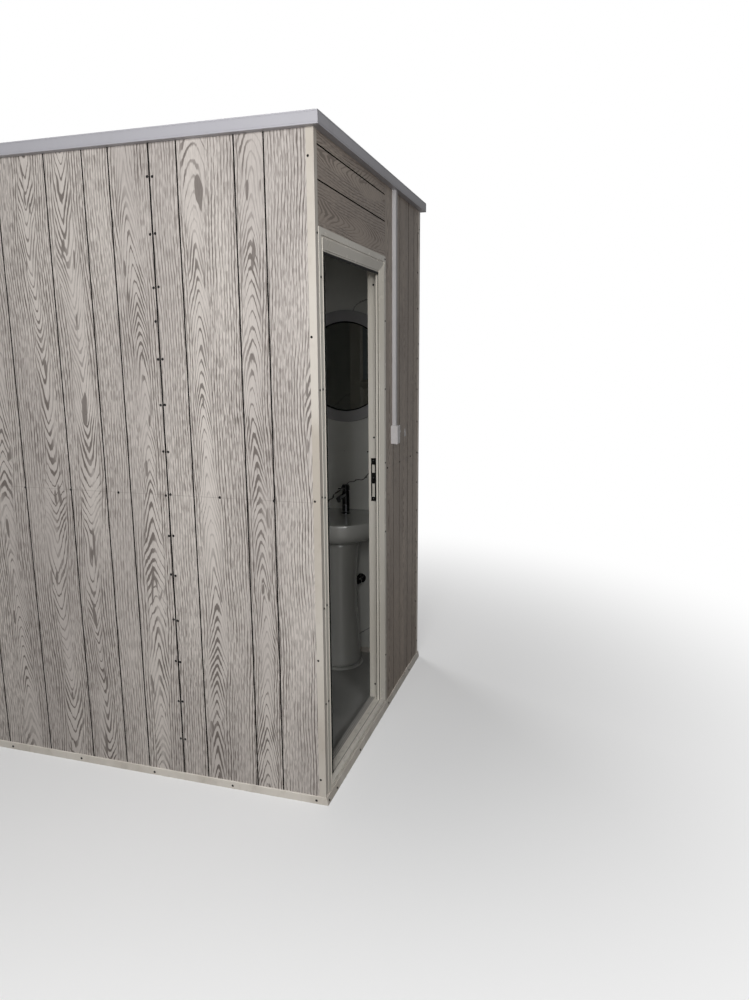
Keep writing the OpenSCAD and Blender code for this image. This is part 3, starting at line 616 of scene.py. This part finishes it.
# Screws on a wall's outer face: spots are (along, height, distance out of the face)
def wall_screws(name, i, spots, radius=5.0 * MM):
    bm = bmesh.new()
    for along, height, out in spots:
        place = wall(i) @ Matrix.Translation((along, -out, height)) @ Matrix.Rotation(math.pi / 2, 4, "X")
        screw_head(bm, place, radius)
    piece(bm, name, "screw", "cubicle", smooth=False)


def jitter(amount):
    return random.uniform(-amount, amount)


def is_doorway(i, along):
    return i == 1 and along < DOOR_END + 0.02


# Fixing screws of the boards: pairs beside each sheet joint, with an odd one that was
# added later, and one row on the middle rail. Those of the doorway wall's far sheet sit
# on its last stud instead.
JOINT_HEIGHTS = (0.17, 0.32, 0.478, 0.637, 0.806, 0.954, LEVEL, 1.253, 1.416, 1.568, 1.803, 1.971, 2.151)
LATE_SCREW = 1.693
PAIR_HALF = 9 * MM
LAST_STUD = DEPTH - 0.036
RAIL_START = 0.166
RAIL_GAP = 0.203
joints = [FRONT_JOINT, SIDE_JOINT, SHEET_W, LEFT_EDGE + SHEET_W]
for i in range(4):
    spots = []
    for height in JOINT_HEIGHTS:
        if i == 1:
            spots.append((LAST_STUD + jitter(2 * MM), height + jitter(4 * MM), 0.0))
            continue
        for side in (-1, 1):
            spots.append((joints[i] + side * PAIR_HALF + jitter(1.5 * MM), height + jitter(3 * MM), 0.0))
    if i == 0:
        spots.append((joints[i] - PAIR_HALF, LATE_SCREW, 0.0))
    row = wall_length(i) - RAIL_START
    while row > 0.1:
        if abs(row - joints[i]) > 0.05 and not is_doorway(i, row):
            spots.append((row, LEVEL + jitter(2 * MM), 0.0))
        row -= RAIL_GAP
    wall_screws("board_screws_%d" % i, i, spots)

# Black strips at the bottom of the joints between two sheets, over the pale core: painted shade
STRIP_W, STRIP_T, STRIP_H = 5.6 * MM, 5 * MM, 2.18
STRIP_IN, STRIP_CENTRE = 5.5 * MM, 1.14
for i in range(4):
    bm = bmesh.new()
    strip = bmesh.ops.create_cube(bm, size=1.0)["verts"]
    bmesh.ops.scale(bm, vec=(STRIP_W, STRIP_T, STRIP_H), verts=strip)
    place = wall(i) @ Matrix.Translation((joints[i], STRIP_IN, STRIP_CENTRE))
    bmesh.ops.transform(bm, matrix=place, verts=strip)
    piece(bm, "joint_painted_shade_strip_%d" % i, "seal", "cubicle", smooth=False)

# Screws of the skirting: on the flat strips' face and the others' slope. They are 333 mm
# apart, but the doorway wall's were put in by eye.
LAST_SCREW = 0.035
SCREW_GAP = 0.333
BY_EYE = (0.012, 0.094, 0.371, 0.795, 1.173)
for i in range(4):
    out = 8.5 * MM if i % 2 else 4 * MM
    places = BY_EYE if i == 1 else [wall_length(i) - LAST_SCREW - SCREW_GAP * k for k in range(6)]
    spots = [(along, 0.012 + jitter(2 * MM), out) for along in places if along > 0.01]
    wall_screws("skirting_screws_%d" % i, i, spots)

# Screws of the corner angles, on both legs of each
ANGLE_T = 1.5 * MM
FAR_LEG, NEAR_LEG = 0.018, 0.014
for i in range(4):
    spots = []
    for height in (0.10, 0.553, LEVEL, 1.633, 2.169):
        spots.append((wall_length(i) - FAR_LEG, height + jitter(6 * MM), ANGLE_T))
    for height in (0.383, 0.737, 1.113, 1.470, 1.95):
        spots.append((NEAR_LEG, height + jitter(6 * MM), ANGLE_T))
    wall_screws("angle_screws_%d" % i, i, spots, 4.2 * MM)

# Screws of the door frame: on the flange round it, and through the lock jamb's reveal
FLANGE_T = 3 * MM
REVEAL_IN = 0.036
flange = []
for height in (0.383, 0.737, 1.113, 1.470, 1.82):
    flange.append((DOOR_START + 0.012, height, FLANGE_T))
for height in (0.26, 0.828, 1.13, 1.440, 1.717, 1.960):
    flange.append((DOOR_END - 0.011, height, FLANGE_T))
wall_screws("flange_screws", 1, flange, 4.4 * MM)
bm = bmesh.new()
for height in (0.130, 1.240, 1.8585):
    place = wall(1) @ Matrix.Translation((DOOR_END - REBATE, REVEAL_IN, height))
    screw_head(bm, place @ Matrix.Rotation(-math.pi / 2, 4, "Y"), 4.4 * MM)
piece(bm, "reveal_screws", "screw", "cubicle", smooth=False)

# Three bright screws down the middle of the lock's plate
low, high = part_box("strike_plate")
bm = bmesh.new()
for share in (0.057, 0.545, 0.943):
    height = low[2] + (high[2] - low[2]) * share
    place = Matrix.Translation(((low[0] + high[0]) / 2, low[1], height))
    screw_head(bm, place @ Matrix.Rotation(math.pi / 2, 4, "X"), 3.2 * MM)
piece(bm, "plate_screws", "steel", "cubicle", smooth=False)

# Two fixing caps of the lining behind the basin, a dark one and a pale one whose whiteness is a painted glint
INDOORS = Matrix.Rotation(-math.pi / 2, 4, "X")
for name, key, slot, along in (
        ("painted_glint_cap", "abs", "white_plastic", 0.374), ("dark_cap", "screw", "black_steel", 0.249)):
    bm = bmesh.new()
    screw_head(bm, wall(2) @ Matrix.Translation((along, WALL_T, LEVEL)) @ INDOORS, 4 * MM)
    piece(bm, name, key, "cubicle", smooth=False)

# Two bits of torn white film left on the boards beside the switch box
FILM_T = 0.5 * MM
bm = bmesh.new()
for along, height, wide, tall, taper in (
        (1.110, 1.225, 34 * MM, 36 * MM, 0.4), (1.027, 1.240, 15 * MM, 12 * MM, 0.8)):
    chip = bmesh.ops.create_cube(bm, size=1.0)["verts"]
    bmesh.ops.scale(bm, vec=(wide, FILM_T, tall), verts=chip)
    bmesh.ops.scale(bm, vec=(taper, 1, 1), verts=[vert for vert in chip if vert.co.z > 0])
    bmesh.ops.transform(bm, matrix=wall(1) @ Matrix.Translation((along, -FILM_T / 2, height)), verts=chip)
piece(bm, "torn_film", "abs", "cubicle", smooth=False)


# A closed smooth skin through level outlines round the Z axis, from the outside's foot to the
# end of the inside. Each is a height, a half width, the reach of its round front, the reach
# of its back and the squareness of the back.
def skinned(name, outlines, at, key):
    bm = bmesh.new()
    loops = []
    for height, half, front, back, square in outlines:
        ring = bmesh.ops.create_circle(bm, segments=48, radius=1.0)["verts"]
        for vert in ring:
            x, y = vert.co.x, vert.co.y
            if y > 0:
                x = math.copysign(abs(x) ** (2 / square), x)
                y = back * y ** (2 / square)
            else:
                y = front * y
            vert.co = (at[0] + half * x, at[1] + y, height)
        loops.append({edge for vert in ring for edge in vert.link_edges})
    for lower, upper in zip(loops, loops[1:]):
        bmesh.ops.bridge_loops(bm, edges=list(lower | upper))
    for end in (loops[0], loops[-1]):
        bmesh.ops.contextual_create(bm, geom=list(end))
    bmesh.ops.recalc_face_normals(bm, faces=bm.faces)
    made = piece(bm, name, key, "cubicle")
    smooth = made.modifiers.new("smooth", "SUBSURF")
    smooth.levels = 1
    smooth.render_levels = 1
    return made


# Basin: the boss round the waste, the outside, the rim with its ledge, and the bowl
waste_r = 0.030
outside = [(SEAT_Z - 0.016, 0.052, 0.052, 0.052, 2), (SEAT_Z - 0.010, 0.060, 0.060, 0.060, 2),
           (SEAT_Z - 0.001, 0.060, 0.060, 0.060, 2)]
for height, inward, square in (
        (0.000, 0.118, 2.5), (0.003, 0.075, 4), (0.016, 0.035, 6), (0.038, 0.012, 8), (0.066, 0.002, 9),
        (0.092, 0.000, 9), (0.101, 0.000, 9), (0.1065, 0.001, 9), (0.1094, 0.0035, 9), (0.110, 0.007, 9)):
    half = BASIN_HW - inward
    outside.append((SEAT_Z + height, half, half, BASIN_BACK - inward * 0.3, square))
bowl = []
for height, inward, back in (
        (0.110, 0.0205, 0.0310), (0.1092, 0.0228, 0.0285), (0.1065, 0.0240, 0.0272), (0.098, 0.0248, 0.0265),
        (0.082, 0.027, 0.026), (0.058, 0.033, 0.025), (0.036, 0.046, 0.024), (0.020, 0.072, 0.022),
        (0.011, 0.125, 0.024)):
    half = BASIN_HW - inward
    bowl.append((SEAT_Z + height, half, half, back, 3.5))
bowl.append((SEAT_Z + 0.006, waste_r + 0.006, waste_r + 0.006, 0.026, 2))
bowl.append((SEAT_Z + 0.005, waste_r, waste_r, 0.024, 2))
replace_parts(skinned("basin_glazed", outside + bowl, BASIN_AT, "glaze"), "basin")

# Pedestal: a column with a narrow waist and a wide foot, and the sealant round its foot
FRONT_SHARE = 0.98
PEDESTAL_BACK = 0.100
SQUARENESS = 2.6
FOOT = 0.106
pedestal_at = (BASIN_AT[0], BASIN_AT[1] + 0.005)
column = []
for k in range(21):
    rise = k / 20
    waist = 0.076 + 0.030 * (1 - rise) ** 2 + 0.036 * rise ** 6
    height = FLOOR_Z + (SEAT_Z - FLOOR_Z) * rise
    column.append((height, waist, waist * FRONT_SHARE, PEDESTAL_BACK, SQUARENESS))
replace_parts(skinned("pedestal_glazed", column, pedestal_at, "glaze"), "pedestal")
sealant = []
for rise, out in ((0.0, 0.0075), (0.0025, 0.0065), (0.005, 0.004), (0.008, 0.001), (0.009, -0.003)):
    sealant.append((FLOOR_Z + rise, FOOT + out, FOOT * FRONT_SHARE + out, PEDESTAL_BACK + out, SQUARENESS))
skinned("pedestal_sealant", sealant, pedestal_at, "silicone")


# One turned ring or fitting: the profile is radius and height along the axis of its place
def turned(name, profile, place, key, segments=32):
    bm = bmesh.new()
    verts = [bm.verts.new((radius, 0.0, height)) for radius, height in profile]
    edges = [bm.edges.new(pair) for pair in zip(verts, verts[1:])]
    bmesh.ops.spin(
        bm, geom=verts + edges, cent=(0, 0, 0), axis=(0, 0, 1), dvec=(0, 0, 0), angle=math.tau,
        steps=segments, use_merge=True)
    bmesh.ops.remove_doubles(bm, verts=bm.verts, dist=0.01 * MM)
    bmesh.ops.recalc_face_normals(bm, faces=bm.faces)
    bmesh.ops.transform(bm, matrix=place, verts=bm.verts)
    return piece(bm, name, key, "cubicle")


# Waste at the bottom of the bowl and the overflow's ring in the bowl's back
waste = [(0.0, 0.002), (0.012, 0.002), (0.014, 0.0), (0.026, 0.0), (0.029, 0.0012), (0.030, 0.003),
         (0.027, 0.0042), (0.020, 0.003), (0.012, 0.006), (0.0, 0.007)]
turned("waste", waste, Matrix.Translation((BASIN_AT[0], BASIN_AT[1], SEAT_Z + 0.005)), "chrome")
overflow = [(0.007, 0.0), (0.012, 0.0), (0.012, 0.0018), (0.010, 0.003), (0.0078, 0.0022), (0.007, 0.0)]
place = Matrix.Translation((BASIN_AT[0], BASIN_AT[1] + 0.0262, SEAT_Z + 0.068))
place = place @ Matrix.Rotation(math.pi / 2, 4, "X")
turned("overflow_ring", overflow, place, "chrome", 24)

# Black ring where the mirror's glass meets its frame: a painted shadow of the frame's edge
MIRROR_Z = 1.526
MIRROR_ALONG = 0.360
GLASS_R = 0.225
edge = [(GLASS_R - 5 * MM, 0.0), (GLASS_R - 4.8 * MM, 8 * MM), (GLASS_R - 6 * MM, 8 * MM),
        (GLASS_R - 11 * MM, 0.2 * MM)]
place = wall(2) @ Matrix.Translation((MIRROR_ALONG, WALL_T + 10.2 * MM, MIRROR_Z)) @ INDOORS
turned("mirror_edge_painted_shadow", edge + edge[:1], place, "seal", 96)

# Camera, from the photo's view
CAMERA_AT = Vector((1.757, -2.896, 1.572))
YAW, PITCH, ROLL = 0.295, -0.193, -0.005
FOCAL_PIXELS = 731.454
PHOTO_HEIGHT = 1000
lens = bpy.data.cameras.new("camera")
lens.sensor_width = 36.0
lens.lens = FOCAL_PIXELS / PHOTO_HEIGHT * lens.sensor_width
camera = bpy.data.objects.new("camera", lens)
turn = Matrix.Rotation(YAW, 4, "Z") @ Matrix.Rotation(math.pi / 2 + PITCH, 4, "X")
camera.matrix_world = Matrix.Translation(CAMERA_AT) @ turn @ Matrix.Rotation(ROLL, 4, "Z")
bpy.context.scene.collection.objects.link(camera)
bpy.context.scene.camera = camera


def area_light(name, at, target, size, power):
    data = bpy.data.lights.new(name, "AREA")
    data.size = size
    data.energy = power
    light = bpy.data.objects.new(name, data)
    light.location = at
    light.rotation_euler = (Vector(target) - Vector(at)).to_track_quat("-Z", "Y").to_euler()
    bpy.context.scene.collection.objects.link(light)


# Studio: a soft key in front, one beside it for the doorway wall, a weak fill that
# reaches through the doorway, one behind for the far sides, one above and a pale world
area_light("key", (1.15, -3.3, 2.4), (0.3, -0.7, 1.2), 1.0, 66)
area_light("side", (3.2, -3.0, 2.3), (0.9, -0.2, 1.1), 1.0, 28)
area_light("fill", (2.1, -3.5, 1.5), (0.7, 0.0, 1.3), 1.2, 12)
area_light("back", (-4.0, 4.5, 3.0), (-0.3, 0.3, 1.1), 2.4, 190)
area_light("top", (-0.3, 0.3, 4.6), (-0.3, 0.3, 2.3), 1.6, 22)


# How far a ray shows the background: fully when looked along or through glass, and dimmer
# in a reflection
def shows_background(tree):
    path = add(tree, "LightPath")
    straight = (path["Is Camera Ray"], path["Is Transmission Ray"])
    straight = add(tree, "Math", straight, operation="MAXIMUM")[0]
    reflected = add(tree, "Math", (path["Is Glossy Ray"], 0.3), operation="MULTIPLY")[0]
    return add(tree, "Math", (straight, reflected), operation="MAXIMUM")[0]


WORLD_LIGHT = 0.10
WHITE = (1.0, 1.0, 1.0, 1.0)
world = bpy.data.worlds.new("studio")
world.use_nodes = True
bpy.context.scene.world = world
sky = world.node_tree
strength = add(sky, "MapRange", (shows_background(sky), 0.0, 1.0, WORLD_LIGHT, 1.0))[0]
feed(sky, sky.nodes["Background"], {"Strength": strength, "Color": WHITE})

# Floor: paper that takes the shadow near the object and fades to plain white further off.
# It is white where the camera looks at it and grey in the light that it throws back.
FADE_FROM, FADE_TO = 1.2, 3.6
bm = bmesh.new()
bmesh.ops.create_grid(bm, x_segments=1, y_segments=1, size=30.0)
floor_mesh = bpy.data.meshes.new("studio_floor")
bm.to_mesh(floor_mesh)
bm.free()
floor = bpy.data.objects.new("studio_floor", floor_mesh)
bpy.context.scene.collection.objects.link(floor)
floor_material, paper, floor_shader = new_material("studio_paper", Roughness=0.9)
looked_at = add(paper, "LightPath")["Is Camera Ray"]
shades = {"Factor": looked_at, COLOUR_A: linear("#77736F"), COLOUR_B: linear("#E6E6E6")}
feed(paper, floor_shader, {"Base Color": add(paper, "Mix", shades, **RGBA)[MIXED]})
distance = add(paper, "VectorMath", (add(paper, "TexCoord")["Object"],), operation="LENGTH")["Value"]
far = add(paper, "MapRange", (distance, FADE_FROM, FADE_TO, 0.3, 1.0), **SMOOTH)[0]
far = add(paper, "Math", (far, shows_background(paper)), operation="MULTIPLY")[0]
white = add(paper, "Emission", {"Color": WHITE, "Strength": 1.0})[0]
blend = add(paper, "MixShader", (far, floor_shader.outputs[0], white))[0]
feed(paper, paper.nodes["Material Output"], {"Surface": blend})
floor_mesh.materials.append(floor_material)

bpy.context.scene.view_settings.view_transform = "Standard"
